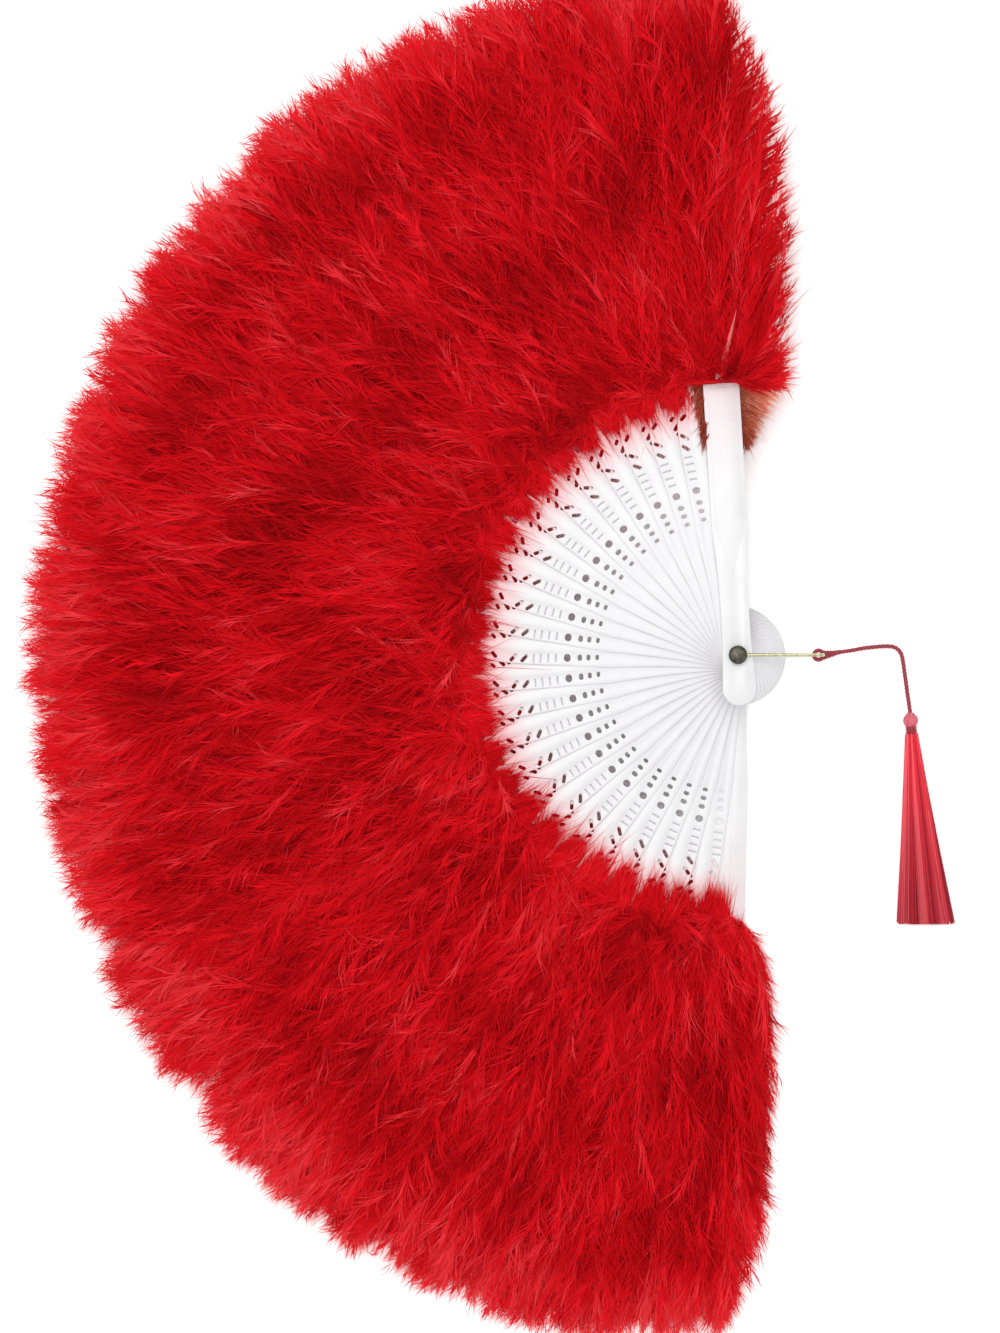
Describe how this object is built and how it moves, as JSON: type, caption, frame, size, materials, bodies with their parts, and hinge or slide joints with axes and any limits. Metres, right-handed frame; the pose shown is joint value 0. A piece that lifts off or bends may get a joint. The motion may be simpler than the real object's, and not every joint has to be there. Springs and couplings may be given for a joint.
{
  "type": "folding feather fan",
  "caption": "Folding hand fan of pierced plastic sticks on one rivet, each ending in a fluffy plume, with a wire bail and a tassel; it folds flat.",
  "frame": {"origin": "middle of the flat underside of the rivet's rear head, on the table", "axes": "+Z along the rivet, up from the table; the open fan spreads towards -X and its guards lie along +Y (front) and -Y (rear)"},
  "size_m": [0.34, 0.5154, 0.0309],
  "materials": {
    "stick_plastic": "glossy moulded white",
    "feather": "soft fluffy red down",
    "ribbon": "satin ribbon",
    "rivet_metal": "dull dark brass",
    "bail_brass": "bright drawn wire",
    "tassel_thread": "silky twisted thread"
  },
  "bodies": {
    "rear_guard": {"rear_guard": "stick_plastic", "rear_plume": "feather", "rivet_pin": "rivet_metal", "rivet_cap": "rivet_metal", "linking_ribbon": "ribbon"},
    "front_guard": {"front_guard": "stick_plastic", "front_plume": "feather"},
    "stick_01": {"stick_01": "stick_plastic", "plume_01": "feather"},
    "stick_02": {"stick_02": "stick_plastic", "plume_02": "feather"},
    "stick_03": {"stick_03": "stick_plastic", "plume_03": "feather"},
    "stick_04": {"stick_04": "stick_plastic", "plume_04": "feather"},
    "stick_05": {"stick_05": "stick_plastic", "plume_05": "feather"},
    "stick_06": {"stick_06": "stick_plastic", "plume_06": "feather"},
    "stick_07": {"stick_07": "stick_plastic", "plume_07": "feather"},
    "stick_08": {"stick_08": "stick_plastic", "plume_08": "feather"},
    "stick_09": {"stick_09": "stick_plastic", "plume_09": "feather"},
    "stick_10": {"stick_10": "stick_plastic", "plume_10": "feather"},
    "stick_11": {"stick_11": "stick_plastic", "plume_11": "feather"},
    "stick_12": {"stick_12": "stick_plastic", "plume_12": "feather"},
    "stick_13": {"stick_13": "stick_plastic", "plume_13": "feather"},
    "stick_14": {"stick_14": "stick_plastic", "plume_14": "feather"},
    "stick_15": {"stick_15": "stick_plastic", "plume_15": "feather"},
    "stick_16": {"stick_16": "stick_plastic", "plume_16": "feather"},
    "stick_17": {"stick_17": "stick_plastic", "plume_17": "feather"},
    "stick_18": {"stick_18": "stick_plastic", "plume_18": "feather"},
    "stick_19": {"stick_19": "stick_plastic", "plume_19": "feather"},
    "stick_20": {"stick_20": "stick_plastic", "plume_20": "feather"},
    "stick_21": {"stick_21": "stick_plastic", "plume_21": "feather"},
    "stick_22": {"stick_22": "stick_plastic", "plume_22": "feather"},
    "stick_23": {"stick_23": "stick_plastic", "plume_23": "feather"},
    "stick_24": {"stick_24": "stick_plastic", "plume_24": "feather"},
    "bail": {"bail": "bail_brass"},
    "tassel": {"cord_knot": "tassel_thread", "tassel_cord": "tassel_thread", "tassel_head": "tassel_thread", "tassel_skirt": "tassel_thread"}
  },
  "joints": [
    {"name": "fold", "type": "hinge", "parent": "rear_guard", "child": "front_guard", "pos_m": [0, 0, 0], "axis": [0, 0, 1], "range_deg": [0, 175], "deforming": ["linking_ribbon"]},
    {"name": "stick_01_turn", "type": "hinge", "parent": "rear_guard", "child": "stick_01", "pos_m": [0, 0, 0], "axis": [0, 0, 1], "range_deg": [0, 168]},
    {"name": "stick_02_turn", "type": "hinge", "parent": "rear_guard", "child": "stick_02", "pos_m": [0, 0, 0], "axis": [0, 0, 1], "range_deg": [0, 161]},
    {"name": "stick_03_turn", "type": "hinge", "parent": "rear_guard", "child": "stick_03", "pos_m": [0, 0, 0], "axis": [0, 0, 1], "range_deg": [0, 154]},
    {"name": "stick_04_turn", "type": "hinge", "parent": "rear_guard", "child": "stick_04", "pos_m": [0, 0, 0], "axis": [0, 0, 1], "range_deg": [0, 147]},
    {"name": "stick_05_turn", "type": "hinge", "parent": "rear_guard", "child": "stick_05", "pos_m": [0, 0, 0], "axis": [0, 0, 1], "range_deg": [0, 140]},
    {"name": "stick_06_turn", "type": "hinge", "parent": "rear_guard", "child": "stick_06", "pos_m": [0, 0, 0], "axis": [0, 0, 1], "range_deg": [0, 133]},
    {"name": "stick_07_turn", "type": "hinge", "parent": "rear_guard", "child": "stick_07", "pos_m": [0, 0, 0], "axis": [0, 0, 1], "range_deg": [0, 126]},
    {"name": "stick_08_turn", "type": "hinge", "parent": "rear_guard", "child": "stick_08", "pos_m": [0, 0, 0], "axis": [0, 0, 1], "range_deg": [0, 119]},
    {"name": "stick_09_turn", "type": "hinge", "parent": "rear_guard", "child": "stick_09", "pos_m": [0, 0, 0], "axis": [0, 0, 1], "range_deg": [0, 112]},
    {"name": "stick_10_turn", "type": "hinge", "parent": "rear_guard", "child": "stick_10", "pos_m": [0, 0, 0], "axis": [0, 0, 1], "range_deg": [0, 105]},
    {"name": "stick_11_turn", "type": "hinge", "parent": "rear_guard", "child": "stick_11", "pos_m": [0, 0, 0], "axis": [0, 0, 1], "range_deg": [0, 98]},
    {"name": "stick_12_turn", "type": "hinge", "parent": "rear_guard", "child": "stick_12", "pos_m": [0, 0, 0], "axis": [0, 0, 1], "range_deg": [0, 91]},
    {"name": "stick_13_turn", "type": "hinge", "parent": "rear_guard", "child": "stick_13", "pos_m": [0, 0, 0], "axis": [0, 0, 1], "range_deg": [0, 84]},
    {"name": "stick_14_turn", "type": "hinge", "parent": "rear_guard", "child": "stick_14", "pos_m": [0, 0, 0], "axis": [0, 0, 1], "range_deg": [0, 77]},
    {"name": "stick_15_turn", "type": "hinge", "parent": "rear_guard", "child": "stick_15", "pos_m": [0, 0, 0], "axis": [0, 0, 1], "range_deg": [0, 70]},
    {"name": "stick_16_turn", "type": "hinge", "parent": "rear_guard", "child": "stick_16", "pos_m": [0, 0, 0], "axis": [0, 0, 1], "range_deg": [0, 63]},
    {"name": "stick_17_turn", "type": "hinge", "parent": "rear_guard", "child": "stick_17", "pos_m": [0, 0, 0], "axis": [0, 0, 1], "range_deg": [0, 56]},
    {"name": "stick_18_turn", "type": "hinge", "parent": "rear_guard", "child": "stick_18", "pos_m": [0, 0, 0], "axis": [0, 0, 1], "range_deg": [0, 49]},
    {"name": "stick_19_turn", "type": "hinge", "parent": "rear_guard", "child": "stick_19", "pos_m": [0, 0, 0], "axis": [0, 0, 1], "range_deg": [0, 42]},
    {"name": "stick_20_turn", "type": "hinge", "parent": "rear_guard", "child": "stick_20", "pos_m": [0, 0, 0], "axis": [0, 0, 1], "range_deg": [0, 35]},
    {"name": "stick_21_turn", "type": "hinge", "parent": "rear_guard", "child": "stick_21", "pos_m": [0, 0, 0], "axis": [0, 0, 1], "range_deg": [0, 28]},
    {"name": "stick_22_turn", "type": "hinge", "parent": "rear_guard", "child": "stick_22", "pos_m": [0, 0, 0], "axis": [0, 0, 1], "range_deg": [0, 21]},
    {"name": "stick_23_turn", "type": "hinge", "parent": "rear_guard", "child": "stick_23", "pos_m": [0, 0, 0], "axis": [0, 0, 1], "range_deg": [0, 14]},
    {"name": "stick_24_turn", "type": "hinge", "parent": "rear_guard", "child": "stick_24", "pos_m": [0, 0, 0], "axis": [0, 0, 1], "range_deg": [0, 7]},
    {"name": "bail_swing", "type": "hinge", "parent": "rear_guard", "child": "bail", "pos_m": [0, 0, 0], "axis": [0, 0, 1], "range_deg": [-70, 75]},
    {"name": "tassel_turn", "type": "hinge", "parent": "bail", "child": "tassel", "pos_m": [0.0315, 0, 0], "axis": [0, 0, 1], "range_deg": [-75, 70]}
  ],
  "couplings": [
    {"joint": "stick_01_turn", "follows": "fold", "ratio": 0.96},
    {"joint": "stick_02_turn", "follows": "fold", "ratio": 0.92},
    {"joint": "stick_03_turn", "follows": "fold", "ratio": 0.88},
    {"joint": "stick_04_turn", "follows": "fold", "ratio": 0.84},
    {"joint": "stick_05_turn", "follows": "fold", "ratio": 0.8},
    {"joint": "stick_06_turn", "follows": "fold", "ratio": 0.76},
    {"joint": "stick_07_turn", "follows": "fold", "ratio": 0.72},
    {"joint": "stick_08_turn", "follows": "fold", "ratio": 0.68},
    {"joint": "stick_09_turn", "follows": "fold", "ratio": 0.64},
    {"joint": "stick_10_turn", "follows": "fold", "ratio": 0.6},
    {"joint": "stick_11_turn", "follows": "fold", "ratio": 0.56},
    {"joint": "stick_12_turn", "follows": "fold", "ratio": 0.52},
    {"joint": "stick_13_turn", "follows": "fold", "ratio": 0.48},
    {"joint": "stick_14_turn", "follows": "fold", "ratio": 0.44},
    {"joint": "stick_15_turn", "follows": "fold", "ratio": 0.4},
    {"joint": "stick_16_turn", "follows": "fold", "ratio": 0.36},
    {"joint": "stick_17_turn", "follows": "fold", "ratio": 0.32},
    {"joint": "stick_18_turn", "follows": "fold", "ratio": 0.28},
    {"joint": "stick_19_turn", "follows": "fold", "ratio": 0.24},
    {"joint": "stick_20_turn", "follows": "fold", "ratio": 0.2},
    {"joint": "stick_21_turn", "follows": "fold", "ratio": 0.16},
    {"joint": "stick_22_turn", "follows": "fold", "ratio": 0.12},
    {"joint": "stick_23_turn", "follows": "fold", "ratio": 0.08},
    {"joint": "stick_24_turn", "follows": "fold", "ratio": 0.04},
    {"joint": "tassel_turn", "follows": "bail_swing", "ratio": -1}
  ]
}
